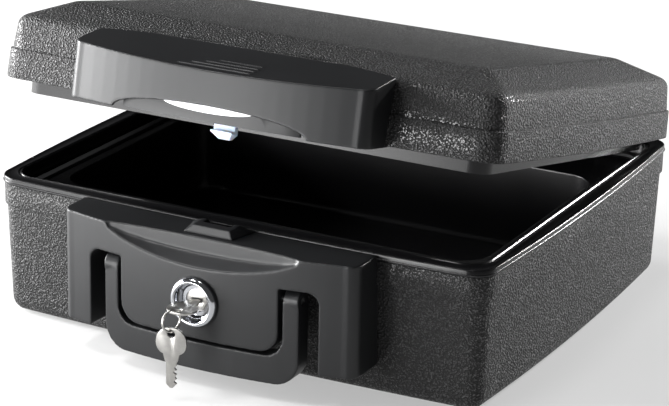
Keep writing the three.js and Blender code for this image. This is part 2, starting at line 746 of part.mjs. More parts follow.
const ribs = { count: 4, firstY: -187, pitch: 5, right: 26, longest: 50, shorter: 7, wide: 1.4, tall: 0.9 };

function coverRib(index) {
  const y = ribs.firstY + index * ribs.pitch;
  const z = cover.frontTop + cover.slope * (y - bow.centre);
  const x0 = ribs.right - ribs.longest + index * ribs.shorter;
  return box(x0, ribs.right, y - ribs.wide / 2, y + ribs.wide / 2, z - 1.5, z + ribs.tall);
}

function latchCover() {
  const outside = raise(coverPlan(), cover.bottom, 150).subtract(aboveCover(0));
  const inside = raise(bowedPlan(cover.wall, -120), cover.bottom - 1, 150).subtract(aboveCover(cover.wall));
  let result = outside.subtract(inside);
  for (const { x, z } of coverScrews) {
    const pillar = rodAlongY(boss, frontCurve(x) + 1.2, -150, x, z, 16);
    result = result.add(pillar).subtract(rodAlongY(1.7, frontCurve(x) + 6, -149, x, z, 16));
  }
  for (const x of [-43, 38.5]) {
    const bracket = box(x, x + 4.5, -177, -166, 107.5, 150).subtract(aboveCover(1));
    result = result.add(bracket);
  }
  for (let index = 0; index < ribs.count; index++) {
    result = result.add(coverRib(index));
  }
  const pinHole = rodAlongX(latchPivot.pin + 0.3, -50, 50, latchPivot.y, latchPivot.z, 16);
  const archCut = runAlongY(archShape(), bow.centre - 5, -178);
  return result.subtract(pinHole).subtract(archCut).subtract(lidBody(SEAT));
}

// ---------------------------------------------------------------- latch
function latchPaddle() {
  const face = bowedSlab(paddle.front, paddle.thick, paddle.half, paddle.bottom, paddle.top);
  const deck = box(-30, 35, bow.centre + paddle.front + 1.2, latchPivot.y, paddle.top - 3, paddle.top);
  const barrel = rodAlongX(latchPivot.barrel, -30, 35, latchPivot.y, latchPivot.z);
  const web = box(-9, 9, -168.5, hook.front - GAP, 99, latchPivot.z);
  const pinHole = rodAlongX(latchPivot.pin + RUNNING, -50, 50, latchPivot.y, latchPivot.z);
  const screw = rodAlongY(1.7, -170, -160, 0, hookScrewZ, 16);
  return face.add(deck).add(barrel).add(web).subtract(pinHole).subtract(screw);
}

function pressPad() {
  const strip = bowedSlab(paddle.front - 1.1, 0.8, 31.3, 101.2, 105.6);
  const shape = new THREE.Shape();
  shape.moveTo(-31.5, 106);
  shape.absellipse(0, 105.2, 31.5, 3.9, Math.PI, 2 * Math.PI, false);
  shape.lineTo(31.5, 106);
  shape.closePath();
  return strip.intersect(runAlongY(shape, bow.centre - 5, -180));
}

// An arm with a ramped nose, narrowed at the bottom so that it finds the strike's slot.
function latchHook() {
  const { half, front, back, nose, bottom, noseTop, chamfer } = hook;
  const arm = box(-half, half, front, back, bottom + chamfer, 110);
  const at = (reach, y, z) => [new THREE.Vector3(-reach, y, z), new THREE.Vector3(reach, y, z)];
  const tip = hull([
    ...at(half, nose, noseTop), ...at(half, nose, noseTop - 1),
    ...at(half - chamfer, front + 1, bottom), ...at(half - chamfer, back, bottom),
    ...at(half, back, noseTop), ...at(half, back, bottom + chamfer),
  ]);
  return arm.add(tip).subtract(rodAlongY(1.8, -170, -150, 0, hookScrewZ, 16));
}

function hookScrew() {
  return screwAlongY({ x: 0, z: hookScrewZ, headY: hook.back + GAP, direction: -1, length: 7.5, head: 2.6 });
}

function latchPin() {
  return rodAlongX(latchPivot.pin, -44, 44, latchPivot.y, latchPivot.z, 20);
}

class Coil extends THREE.Curve {
  constructor(radius, length, turns) {
    super();
    Object.assign(this, { radius, length, turns });
  }

  getPoint(t) {
    const angle = 2 * Math.PI * this.turns * t;
    return new THREE.Vector3(this.length * t, this.radius * Math.cos(angle), this.radius * Math.sin(angle));
  }
}

function latchSpring() {
  const wire = new THREE.Shape();
  wire.absarc(0, 0, 0.45, 0, 2 * Math.PI, false);
  const path = new Coil(2.8, 6, 5);
  const options = { steps: 60, extrudePath: path, bevelEnabled: false, curveSegments: 3 };
  return solid(new THREE.ExtrudeGeometry(wire, options).translate(-37.3, latchPivot.y, latchPivot.z));
}

// ---------------------------------------------------------------- assembly
const chestGroup = new THREE.Group();
chestGroup.name = 'document_chest';
const lidGroup = new THREE.Group();
const ringGroup = new THREE.Group();
const hangingGroup = new THREE.Group();

// A piece modelled in place; inside a turned group its coordinates are taken relative to the pivot.
function place(group, name, piece, look, pivot = [0, 0, 0]) {
  const geometry = piece instanceof THREE.BufferGeometry ? piece : geometryOf(piece);
  const mesh = new THREE.Mesh(geometry.translate(-pivot[0], -pivot[1], -pivot[2]), look);
  mesh.name = name;
  group.add(mesh);
}

function addBase() {
  place(chestGroup, 'base_outer_shell', baseOuterShell(), material.texturedShell);
  place(chestGroup, 'base_inner_tub', baseInnerTub(), material.smoothShell);
  place(chestGroup, 'base_insulation', baseInsulation(), material.insulation);
  place(chestGroup, 'base_gasket', baseGasket(), material.seal);
  place(chestGroup, 'base_fill_plug_left', baseFillPlug(-1), material.seal);
  place(chestGroup, 'base_fill_plug_right', baseFillPlug(1), material.seal);
  place(chestGroup, 'front_panel', frontPanel(), material.satinPanel);
  panelScrews.forEach((screw, index) => {
    const piece = screwAlongY({ ...screw, headY: panelScrewSeat(screw), direction: -1, length: 14 });
    place(chestGroup, `panel_screw_${index + 1}`, piece, material.zinc);
  });
  place(chestGroup, 'strike_block', strikeBlock(), material.satinPanel);
  place(chestGroup, 'carry_handle', carryHandle(), material.satinPanel);
  place(chestGroup, 'handle_pin_left', handlePin(-1), material.zinc);
  place(chestGroup, 'handle_pin_right', handlePin(1), material.zinc);
}

function addLock() {
  place(chestGroup, 'lock_bezel', lockBezel(), material.chrome);
  place(chestGroup, 'lock_body', lockBody(), material.chrome);
  place(chestGroup, 'lock_nut', lockNut(), material.zinc);
  place(chestGroup, 'lock_plug', lockPlug(), material.nickel);
  place(chestGroup, 'lock_cam', lockCam(), material.zinc);
  place(chestGroup, 'lock_cam_screw', camScrew(), material.zinc);
  place(chestGroup, 'lock_key', lockKey(), material.nickel);
}

// The ring stands upright and passes through the bow's hole; its plane is turned from straight ahead.
function addKeyRing() {
  const drop = ring.radius - ring.wire - key.blade / 2 - ring.slack;
  const crossing = Math.sqrt(ring.radius ** 2 - drop ** 2);
  ringGroup.position.set(0, key.holeY, lock.z);
  ringGroup.rotation.z = -ring.turn;
  const loop = new THREE.TorusGeometry(ring.radius, ring.wire, 8, 28).rotateY(Math.PI / 2);
  place(ringGroup, 'key_ring', solid(loop.translate(0, -crossing, -drop)), material.nickel);
  hangingGroup.position.set(0, -crossing, -drop - ring.radius);
  hangingGroup.rotation.z = ring.turn + hangingTurn;
  const holeBelow = key.hole - ring.wire - GAP;
  const hole = key.holeY - key.bowY;
  const blank = geometryOf(keySolid(keyReach.spare)).rotateX(-Math.PI / 2).translate(0, 0, hole - holeBelow);
  place(hangingGroup, 'hanging_key', blank, material.nickel);
  ringGroup.add(hangingGroup);
  chestGroup.add(ringGroup);
}

function addLid() {
  const pivot = [0, hinge.y, hinge.z];
  lidGroup.position.set(...pivot);
  lidGroup.rotation.x = -THREE.MathUtils.degToRad(lid.openAngle);
  place(lidGroup, 'lid_outer_shell', lidOuterShell(), material.texturedShell, pivot);
  place(lidGroup, 'lid_inner_shell', lidInnerShell(), material.smoothShell, pivot);
  place(lidGroup, 'lid_insulation', lidInsulation(), material.insulation, pivot);
  place(lidGroup, 'latch_cover', latchCover(), material.satinPanel, pivot);
  coverScrews.forEach((screw, index) => {
    const piece = screwAlongY({ ...screw, headY: coverScrewSeat(screw), direction: -1, length: 14 });
    place(lidGroup, `cover_screw_${index + 1}`, piece, material.zinc, pivot);
  });
  place(lidGroup, 'latch_paddle', latchPaddle(), material.satinPanel, pivot);
  place(lidGroup, 'latch_press_pad', pressPad(), material.whitePad, pivot);
  place(lidGroup, 'latch_hook', latchHook(), material.nylon, pivot);
  place(lidGroup, 'latch_hook_screw', hookScrew(), material.zinc, pivot);
  place(lidGroup, 'latch_pivot_pin', latchPin(), material.zinc, pivot);
  place(lidGroup, 'latch_spring', latchSpring(), material.zinc, pivot);
  chestGroup.add(lidGroup);
}

function addHinges() {
  const pivot = [0, hinge.y, hinge.z];
  for (const [side, label] of [[-1, 'left'], [1, 'right']]) {
    place(chestGroup, `base_hinge_leaf_${label}`, baseLeaf(side), material.hingeSteel);
    place(chestGroup, `hinge_pin_${label}`, hingePin(side), material.zinc);
    place(lidGroup, `lid_hinge_leaf_${label}`, lidLeaf(side), material.hingeSteel, pivot);
    hingeScrewX.forEach((offset, index) => {
      const number = index + 1;
      const low = hingeScrew(side, offset, baseLeafScrewZ);
      const high = hingeScrew(side, offset, lidLeafScrewZ);
      place(chestGroup, `base_hinge_screw_${label}_${number}`, low, material.zinc);
      place(lidGroup, `lid_hinge_screw_${label}_${number}`, high, material.zinc, pivot);
    });
  }
}

addBase();
addLock();
addKeyRing();
addLid();
addHinges();

export default chestGroup;
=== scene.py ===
"""Fire-resistant document chest: the looks of its shells, latch, panel, lock, keys and hinges."""

import json
import math
from collections import namedtuple

import bmesh
import bpy
from mathutils import Matrix, Vector

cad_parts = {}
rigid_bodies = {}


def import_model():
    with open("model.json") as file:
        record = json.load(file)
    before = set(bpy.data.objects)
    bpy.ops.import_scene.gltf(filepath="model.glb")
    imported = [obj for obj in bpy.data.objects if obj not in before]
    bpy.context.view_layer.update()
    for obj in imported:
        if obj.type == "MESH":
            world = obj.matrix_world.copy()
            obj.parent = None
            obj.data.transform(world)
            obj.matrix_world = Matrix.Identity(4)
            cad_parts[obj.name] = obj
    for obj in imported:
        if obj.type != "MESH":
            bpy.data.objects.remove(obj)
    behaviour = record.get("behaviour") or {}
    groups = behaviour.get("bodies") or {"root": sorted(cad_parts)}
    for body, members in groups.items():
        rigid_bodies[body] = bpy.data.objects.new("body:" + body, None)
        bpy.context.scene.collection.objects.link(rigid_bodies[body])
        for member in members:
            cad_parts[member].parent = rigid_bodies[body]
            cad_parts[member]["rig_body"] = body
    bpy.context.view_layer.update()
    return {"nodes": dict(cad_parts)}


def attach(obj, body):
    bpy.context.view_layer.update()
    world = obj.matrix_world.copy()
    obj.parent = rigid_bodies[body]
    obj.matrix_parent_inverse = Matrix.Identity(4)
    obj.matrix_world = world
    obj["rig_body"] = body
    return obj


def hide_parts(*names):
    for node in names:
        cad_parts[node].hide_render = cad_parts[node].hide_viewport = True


bl_info = {
    "name": "Document Chest",
    "version": (1, 0, 0),
    "blender": (4, 5, 0),
    "location": "3D View > Sidebar > Chest",
    "description": "Finishes a fire-resistant document chest around its packed frame",
    "category": "Object",
}

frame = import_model()

MM = 0.001

# The lid hangs on this line and rests open by this angle.
HINGE_LINE = Vector((0, 157.0, 95.5))
LID_OPEN = math.radians(12.2)

# Outlines of the chest seen from above, in millimetres. The corner's radius shrinks with the
# inset, down to the least one, and the sides and the front bow outwards.
Plan = namedtuple("Plan", "half_x front back corner least_corner side_bow front_bow")
CHEST = Plan(181.5, -155.0, 152.0, 14.0, 5, 4.8, 4.7)
HIP = Plan(149.2, -115.2, 104.7, 6.0, 5, 0.8, 0.8)
THROAT = Plan(168.5, -141.5, 139.0, 15.0, 5, 0.0, 0.0)
WELL = Plan(153.0, -112.0, 78.0, 20.0, 12, 0.0, 0.0)
CORNER_STEPS = 10
SIDE_STEPS = 18

# Heights of the base and of the shut lid, in millimetres.
STEP_FOOT = 74.8
BASE_TOP = 90.2
LID_BOTTOM = 96
LID_SHOULDER = 135.7
LID_TOP = 148.5

# Where the holes sit: moulding screws, hinge screws and fill plugs.
FRONT_SCREW_X = 92
PANEL_SCREW_Z = (32, 82)
COVER_SCREW_Z = 107
HINGE_X = 105
HINGE_SCREW_OFFSET = 12
BASE_LEAF_SCREW_Z = 83
LID_LEAF_SCREW_Z = 107
SCREW_HOLE = 1.8
PLUG_HOLE = 11
PLUG_PLACE = (70, 40, 1)


# ---------------------------------------------------------------- shader maths
class Wire:
    """A shader socket that adds Math and Mix nodes when it is used in an expression."""

    def __init__(self, finish, socket):
        self.finish = finish
        self.socket = socket

    def _math(self, operation, first, second=None):
        values = [first] if second is None else [first, second]
        return self.finish.node("ShaderNodeMath", {"operation": operation}, dict(enumerate(values)))

    def __add__(self, other):
        return self._math("ADD", self, other)

    __radd__ = __add__

    def __mul__(self, other):
        return self._math("MULTIPLY", self, other)

    __rmul__ = __mul__

    def __sub__(self, other):
        return self._math("SUBTRACT", self, other)

    def __rsub__(self, other):
        return self._math("SUBTRACT", other, self)


class Finish:
    """One material and its node tree, with short ways to add what it is made of."""

    def __init__(self, name, **constants):
        self.material = bpy.data.materials.new(name)
        self.material.use_nodes = True
        self.tree = self.material.node_tree
        self.shader = self.tree.nodes["Principled BSDF"]
        for socket, value in constants.items():
            self.shader.inputs[socket.replace("_", " ")].default_value = value
        self.place = self.node("ShaderNodeTexCoord", out="Object")

    def node(self, kind, settings=None, inputs=None, out=0):
        """Adds a node, sets it up, fills its sockets from values or wires, and returns one output."""
        added = self.tree.nodes.new(kind)
        for name, value in (settings or {}).items():
            if name == "stops":
                self.set_stops(added.color_ramp, value)
            else:
                setattr(added, name, value)
        for name, value in (inputs or {}).items():
            if isinstance(value, Wire):
                self.tree.links.new(value.socket, added.inputs[name])
            else:
                added.inputs[name].default_value = value
        return Wire(self, added.outputs[out])

    @staticmethod
    def set_stops(ramp, stops):
        while len(ramp.elements) < len(stops):
            ramp.elements.new(0.5)
        for element, (position, grey) in zip(ramp.elements, stops):
            element.position = position
            element.color = (grey, grey, grey, 1)

    def noise(self, scale, detail=3.0, roughness=0.55, at=None):
        inputs = {"Vector": at or self.place, "Scale": scale, "Detail": detail, "Roughness": roughness}
        return self.node("ShaderNodeTexNoise", inputs=inputs)

    def cells(self, scale, feature="SMOOTH_F1", at=None, randomness=1.0):
        inputs = {"Vector": at or self.place, "Scale": scale, "Randomness": randomness}
        return self.node("ShaderNodeTexVoronoi", {"feature": feature}, inputs)

    def drift(self, scale, reach):
        """A small wandering offset in metres, to break up a regular pattern."""
        wander = self.node("ShaderNodeTexNoise", inputs={"Vector": self.place, "Scale": scale}, out=1)
        return self.node("ShaderNodeVectorMath", {"operation": "SCALE"}, {0: wander, 3: reach})

    def stretched(self, scale):
        """Object coordinates stretched along the axes, for brushed grain."""
        return self.node("ShaderNodeMapping", inputs={"Vector": self.place, "Scale": scale})

    def ramp(self, value, *stops):
        return self.node("ShaderNodeValToRGB", {"stops": stops}, {0: value})

    def eased_range(self, value, low, high, at_low, at_high):
        """Runs smoothly from one strength to another as the value goes from low to high."""
        inputs = {0: value, 1: low, 2: high, 3: at_low, 4: at_high}
        return self.node("ShaderNodeMapRange", {"interpolation_type": "SMOOTHSTEP"}, inputs)

    def blend_colour(self, factor, first, second):
        inputs = {0: factor, 6: first, 7: second}
        return self.node("ShaderNodeMix", {"data_type": "RGBA"}, inputs, out=2)

    def colour(self, factor, first, second):
        blended = self.blend_colour(factor, (*first, 1), (*second, 1))
        self.tree.links.new(blended.socket, self.shader.inputs["Base Color"])

    def roughness(self, value):
        self.tree.links.new(value.socket, self.shader.inputs["Roughness"])

    def coat(self, value):
        self.tree.links.new(value.socket, self.shader.inputs["Coat Weight"])

    def bump(self, *heights):
        """Feeds the normal from one or more (height, strength, depth in metres)."""
        normal = None
        for height, strength, depth in heights:
            inputs = {"Height": height, "Strength": strength, "Distance": depth}
            if normal:
                inputs["Normal"] = normal
            normal = self.node("ShaderNodeBump", inputs=inputs)
        self.tree.links.new(normal.socket, self.shader.inputs["Normal"])


# ---------------------------------------------------------------- finishes
def pebbled_plastic():
    look = bpy.context.scene.chest_look
    finish = Finish("pebbled black plastic", Specular_IOR_Level=look.shell_gloss, Coat_Roughness=0.15)
    wander = {0: finish.place, 1: finish.drift(900, 0.0006)}
    bent = finish.node("ShaderNodeVectorMath", {"operation": "ADD"}, wander)
    pebbles = finish.cells(1000 / look.pebble_size, at=bent)
    fine = finish.noise(1300, 2.0)
    worn = finish.noise(9, 4.0)
    crown = 1 - finish.ramp(pebbles, (0.05, 0.0), (0.62, 1.0))
    tips = finish.ramp(crown, (0.4, 0.0), (0.72, 1.0))
    # Painted glint and shade: the pebble crowns get a lighter colour as a painted glint, the hollows
    # between them a darker one as painted shade; the worn noise adds random tone.
    finish.colour(tips * 0.85 + worn * 0.15, look.shell_shade_colour, look.shell_glint_colour)
    finish.roughness(0.62 - tips * 0.36 + worn * 0.06)
    finish.coat(tips * 0.7)
    finish.bump((crown, look.pebble_depth, 0.0009), (fine, 0.35, 0.0003))
    return finish.material


def smooth_plastic():
    finish = Finish("smooth black plastic", Specular_IOR_Level=0.3)
    flow = finish.noise(14, 3.0)
    peel = finish.noise(420, 1.0)
    finish.colour(flow, (0.003, 0.003, 0.0034), (0.006, 0.006, 0.0066))
    finish.roughness(0.2 + flow * 0.1)
    finish.bump((peel, 0.035, 0.0002))
    return finish.material


def satin_plastic():
    look = bpy.context.scene.chest_look
    finish = Finish("satin black plastic", Specular_IOR_Level=0.3)
    matt = finish.noise(2400, 2.0)
    flow = finish.noise(11, 3.0)
    finish.colour(flow, look.satin_low, look.satin_colour)
    finish.roughness(0.33 + flow * 0.08 + matt * 0.06)
    finish.bump((matt, 0.1, 0.0001))
    return finish.material


def cast_mineral():
    finish = Finish("cast mineral filling", Roughness=0.95)
    grit = finish.noise(260, 6.0)
    pores = finish.ramp(finish.cells(330, "F1"), (0.12, 0.0), (0.3, 1.0))
    finish.colour(grit * pores, (0.3, 0.27, 0.22), (0.62, 0.59, 0.52))
    finish.bump((grit, 0.5, 0.0008), (pores, 0.5, 0.0006))
    return finish.material


def soft_seal():
    finish = Finish("soft black seal")
    skin = finish.noise(700, 3.0)
    finish.colour(skin, (0.008, 0.008, 0.009), (0.02, 0.02, 0.021))
    finish.roughness(0.6 + skin * 0.2)
    finish.bump((skin, 0.2, 0.0002))
    return finish.material


def milky_nylon():
    finish = Finish("milky nylon", Subsurface_Weight=0.35, Subsurface_Scale=0.004)
    cloud = finish.noise(180, 3.0)
    finish.colour(cloud, (0.5, 0.6, 0.78), (0.78, 0.86, 0.96))
    finish.roughness(0.28 + cloud * 0.15)
    finish.bump((cloud, 0.06, 0.0003))
    return finish.material


def white_plastic():
    finish = Finish("white plastic")
    cloud = finish.noise(240, 2.0)
    finish.colour(cloud, (0.83, 0.84, 0.85), (0.93, 0.93, 0.94))
    finish.roughness(0.3 + cloud * 0.15)
    finish.bump((finish.noise(1500, 2.0), 0.05, 0.0001))
    return finish.material


def polished_chrome():
    finish = Finish("polished chrome", Metallic=1.0)
    haze = finish.noise(60, 4.0)
    scratches = finish.noise(1.0, 3.0, at=finish.stretched((4200, 500, 900)))
    finish.colour(haze, (0.36, 0.37, 0.4), (0.5, 0.51, 0.53))
    finish.roughness(0.05 + haze * 0.07 + scratches * 0.05)
    finish.bump((scratches, 0.02, 0.00005))
    return finish.material


def plated_nickel():
    finish = Finish("plated nickel", Metallic=1.0)
    grain = finish.noise(1.0, 4.0, at=finish.stretched((600, 900, 5200)))
    haze = finish.noise(220, 4.0)
    finish.colour(haze, (0.26, 0.255, 0.245), (0.46, 0.45, 0.43))
    finish.roughness(0.2 + grain * 0.14 + haze * 0.1)
    finish.bump((grain, 0.12, 0.00008), (haze, 0.05, 0.0002))
    return finish.material


def zinc_plate():
    finish = Finish("zinc plate", Metallic=1.0)
    spangle = finish.cells(900, "F1")
    haze = finish.noise(300, 4.0)
    finish.colour(spangle * haze, (0.36, 0.37, 0.38), (0.6, 0.61, 0.6))
    finish.roughness(0.28 + haze * 0.2)
    finish.bump((haze, 0.1, 0.0001))
    return finish.material


def painted_steel():
    finish = Finish("black painted steel")
    peel = finish.noise(900, 2.0)
    worn = finish.noise(60, 5.0)
    finish.colour(worn, (0.012, 0.012, 0.013), (0.035, 0.035, 0.037))
    finish.roughness(0.3 + worn * 0.15)
    finish.bump((peel, 0.12, 0.0002))
    return finish.material


FINISHES = {
    "textured_shell": pebbled_plastic,
    "smooth_shell": smooth_plastic,
    "satin_panel": satin_plastic,
    "insulation": cast_mineral,
    "seal": soft_seal,
    "nylon": milky_nylon,
    "white_pad": white_plastic,
    "chrome": polished_chrome,
    "nickel": plated_nickel,
    "zinc": zinc_plate,
    "hinge_steel": painted_steel,
}
made_finishes = {}


def finish_for(slot):
    """The material for one of the record's slots, made the first time it is asked for."""
    if slot not in made_finishes:
        made_finishes[slot] = FINISHES[slot]()
    return made_finishes[slot]


def paint(piece, slot):
    piece.data.materials.clear()
    piece.data.materials.append(finish_for(slot))


# ---------------------------------------------------------------- modelling helpers
def deselect_all():
    if bpy.context.object and bpy.context.object.mode != "OBJECT":
        bpy.ops.object.mode_set(mode="OBJECT")
    bpy.ops.object.select_all(action="DESELECT")


def pick(piece):
    deselect_all()
    piece.select_set(True)
    bpy.context.view_layer.objects.active = piece


def moulding_from(node, name):
    """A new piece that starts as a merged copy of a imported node, its flat faces made whole."""
    pick(frame["nodes"][node])
    bpy.ops.object.duplicate()
    piece = bpy.context.object
    piece.name = name
    piece.data.name = name
    piece.parent = None
    piece.matrix_world = Matrix.Identity(4)
    for key in [key for key in piece.keys() if key.startswith("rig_")]:
        del piece[key]
    if piece.data.has_custom_normals:
        bpy.ops.mesh.customdata_custom_splitnormals_clear()
    bpy.ops.object.mode_set(mode="EDIT")
    bpy.ops.mesh.select_all(action="SELECT")
    bpy.ops.mesh.remove_doubles(threshold=0.002 * MM)
    bpy.ops.mesh.dissolve_limited(angle_limit=math.radians(0.6))
    bpy.ops.object.mode_set(mode="OBJECT")
    return piece


def soften(piece, width, segments=2, over=35, smooth=40):
    """Rounds every edge sharper than an angle and shades the rest smooth."""
    pick(piece)
    bevel = piece.modifiers.new("edges", "BEVEL")
    bevel.width = width * MM
    bevel.segments = segments
    bevel.limit_method = "ANGLE"
    bevel.angle_limit = math.radians(over)
    bevel.miter_outer = "MITER_ARC"
    bevel.use_clamp_overlap = True
    bpy.ops.object.modifier_apply(modifier=bevel.name)
    bpy.ops.object.shade_smooth_by_angle(angle=math.radians(smooth))


def flow_surface(piece, grain, rounds):
    """Gives a bowed moulding an even skin whose edges run softly into each other."""
    pick(piece)
    skin = piece.modifiers.new("skin", "REMESH")
    skin.mode = "VOXEL"
    skin.voxel_size = grain * MM
    skin.use_smooth_shade = True
    bpy.ops.object.modifier_apply(modifier=skin.name)
    relax = piece.modifiers.new("relax", "SMOOTH")
    relax.factor = 0.5
    relax.iterations = rounds
    bpy.ops.object.modifier_apply(modifier=relax.name)
    bpy.ops.object.shade_smooth()


def settle(piece, body, slot, *nodes):
    """Paints a finished piece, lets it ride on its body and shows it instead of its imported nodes."""
    paint(piece, slot)
    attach(piece, body)
    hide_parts(*nodes)


def dress(node, slot, smooth=40):
    """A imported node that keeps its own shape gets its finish."""
    piece = frame["nodes"][node]
    piece.data.materials.clear()
    piece.data.materials.append(finish_for(slot))
    pick(piece)
    bpy.ops.object.shade_smooth_by_angle(angle=math.radians(smooth))


def flowing_copy(node, name, slot, edge, grain=0.75, rounds=5):
    """A packed moulding with rounded edges and an even skin."""
    piece = moulding_from(node, name)
    soften(piece, edge)
    flow_surface(piece, grain, rounds)
    settle(piece, body_of(node), slot, node)
    return piece


def body_of(node):
    return frame["nodes"][node]["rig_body"]


def plan(size, inset, z):
    """One level of a rounded outline with bowed sides, drawn this far inside its full size."""
    half_x, front, back = size.half_x - inset, size.front + inset, size.back - inset
    corner = max(size.corner - inset, size.least_corner)
    half_y = (back - front - size.front_bow) / 2
    middle = (back + front + size.front_bow) / 2
    inner_x = half_x - size.side_bow
    points = []
    for sign_x, sign_y, start in ((1, -1, -90), (1, 1, 0), (-1, 1, 90), (-1, -1, 180)):
        for step in range(CORNER_STEPS + 1):
            angle = math.radians(start + 90 * step / CORNER_STEPS)
            x = sign_x * (inner_x - corner) + corner * math.cos(angle)
            y = sign_y * (half_y - corner) + corner * math.sin(angle)
            points.append(Vector((x, y, z)))
    filled = []
    for index, point in enumerate(points):
        after = points[(index + 1) % len(points)]
        count = SIDE_STEPS if (index + 1) % (CORNER_STEPS + 1) == 0 else 1
        filled += [point.lerp(after, part / count) for part in range(count)]
    for point in filled:
        forward = size.front_bow * max(0, -point.y / half_y) * (1 - (point.x / inner_x) ** 2)
        point.x *= 1 + size.side_bow / inner_x * (1 - (point.y / half_y) ** 2)
        point.y += middle - forward
    return filled


def eased(first, corner, last, steps=6):
    """Levels that round a corner between two other levels."""
    levels = []
    for step in range(steps + 1):
        t = step / steps
        pairs = zip(first, corner, last)
        levels.append([a.lerp(b, t).lerp(b.lerp(c, t), t) for a, b, c in pairs])
    return levels


def between(first, last, share):
    return [a.lerp(b, share) for a, b in zip(first, last)]


def lofted(name, levels):
    """Starts from one flat face and extrudes it through every level in turn."""
    deselect_all()
    bpy.ops.mesh.primitive_circle_add(vertices=len(levels[0]), radius=1, fill_type="NGON")
    piece = bpy.context.object
    piece.name = name
    bpy.ops.object.mode_set(mode="EDIT")
    before = {}
    for number, level in enumerate(levels):
        if number:
            bpy.ops.mesh.extrude_region_move()
        mesh = bmesh.from_edit_mesh(piece.data)
        for vertex in (vertex for vertex in mesh.verts if vertex.select):
            index = before[vertex.co.to_tuple(6)] if number else vertex.index
            vertex.co = level[index] * MM
        before = {(point * MM).to_tuple(6): index for index, point in enumerate(level)}
        bmesh.update_edit_mesh(piece.data)
    bpy.ops.mesh.select_all(action="SELECT")
    bpy.ops.mesh.normals_make_consistent(inside=False)
    bpy.ops.object.mode_set(mode="OBJECT")
    return piece


def open_lid(piece):
    """Turns a piece that was made shut to where the lid rests."""
    pick(piece)
    bpy.ops.object.mode_set(mode="EDIT")
    bpy.ops.mesh.select_all(action="SELECT")
    mesh = bmesh.from_edit_mesh(piece.data)
    turn = Matrix.Rotation(-LID_OPEN, 3, "X")
    bmesh.ops.rotate(mesh, cent=HINGE_LINE * MM, matrix=turn, verts=mesh.verts)
    bmesh.update_edit_mesh(piece.data)
    bpy.ops.object.mode_set(mode="OBJECT")


def drill(piece, holes):
    """Cuts round holes, each given by its middle, radius, length and axis, in millimetres."""
    deselect_all()
    drills = []
    for middle, radius, length, axis in holes:
        bpy.ops.mesh.primitive_cylinder_add(
            vertices=32,
            radius=radius * MM,
            depth=length * MM,
            location=Vector(middle) * MM,
            rotation=(math.pi / 2, 0, 0) if axis == "Y" else (0, 0, 0),
        )
        drills.append(bpy.context.object)
    deselect_all()
    for one in drills:
        one.select_set(True)
    bpy.context.view_layer.objects.active = drills[0]
    bpy.ops.object.join()
    cutter = bpy.context.object
    pick(piece)
    cut = piece.modifiers.new("holes", "BOOLEAN")
    cut.object = cutter
    cut.operation = "DIFFERENCE"
    cut.solver = "EXACT"
    bpy.ops.object.modifier_apply(modifier=cut.name)
    bpy.data.objects.remove(cutter)
    bpy.ops.object.shade_smooth_by_angle(angle=math.radians(35))


def softened_copy(node, name, slot, width, **options):
    piece = moulding_from(node, name)
    soften(piece, width, **options)
    settle(piece, body_of(node), slot, node)
    return piece


# ---------------------------------------------------------------- settings
class ChestLook(bpy.types.PropertyGroup):
    """Colours and surface sizes of the chest's mouldings."""

    # Colour of the pebble crowns, made lighter as a painted glint.
    shell_glint_colour: bpy.props.FloatVectorProperty(
        name="Shell colour",
        description="Pebble crowns",
        size=3,
        subtype="COLOR",
        default=(0.026, 0.026, 0.0275),
    )
    # Colour between the pebbles, made darker as painted shade.
    shell_shade_colour: bpy.props.FloatVectorProperty(
        name="Shell low colour",
        description="Between the pebbles",
        size=3,
        subtype="COLOR",
        default=(0.0015, 0.0015, 0.0015),
    )
    shell_gloss: bpy.props.FloatProperty(
        name="Shell gloss", description="Strength of the shells' reflections", default=0.36, min=0, max=1
    )
    pebble_size: bpy.props.FloatProperty(
        name="Pebble size",
        description="Mean width of a pebble in millimetres",
        default=1.15,
        min=0.3,
        max=5,
    )
    pebble_depth: bpy.props.FloatProperty(
        name="Pebble depth", description="How strongly the pebbles stand out", default=1.0, min=0, max=1
    )
    satin_colour: bpy.props.FloatVectorProperty(
        name="Satin colour",
        description="Panel, cover and handle",
        size=3,
        subtype="COLOR",
        default=(0.012, 0.0125, 0.0135),
    )
    satin_low: bpy.props.FloatVectorProperty(
        name="Satin low colour",
        description="Flow marks in the satin mouldings",
        size=3,
        subtype="COLOR",
        default=(0.007, 0.0073, 0.008),
    )


class ChestEdges(bpy.types.PropertyGroup):
    """Edge radii of the mouldings, in millimetres."""

    foot: bpy.props.FloatProperty(
        name="Foot", description="Radius round the base's underside", default=10, min=1
    )
    shoulder: bpy.props.FloatProperty(
        name="Shoulder", description="Softness of the lid's upper edge", default=5, min=1
    )
    rim: bpy.props.FloatProperty(
        name="Rim edges", description="Radius on the lid's inner shell", default=1.0, min=0.05
    )
    panel: bpy.props.FloatProperty(
        name="Panel edges", description="Radius on panel and cover", default=0.8, min=0.05
    )


# ---------------------------------------------------------------- pieces
def base_shell_levels(foot):
    """Outside of the base from the middle of its underside to the top, then down the inside."""
    levels = []
    for step in range(9):
        turn = math.radians(90 * step / 8)
        inset = 4.8 + foot * (1 - math.sin(turn))
        levels.append(plan(CHEST, inset, foot * (1 - math.cos(turn))))
    step = ((2.52, STEP_FOOT), (2.4, 75.3), (1.5, 75.45), (1.08, 75.8), (1.0, 76.5))
    top = ((1.0, 89.4), (1.2, 89.95), (1.8, BASE_TOP), (5.4, BASE_TOP), (5.65, 89.8))
    inside = ((7.8, 13), (9.5, 7), (14.8, 3))
    return levels + [plan(CHEST, inset, z) for inset, z in step + top + inside]


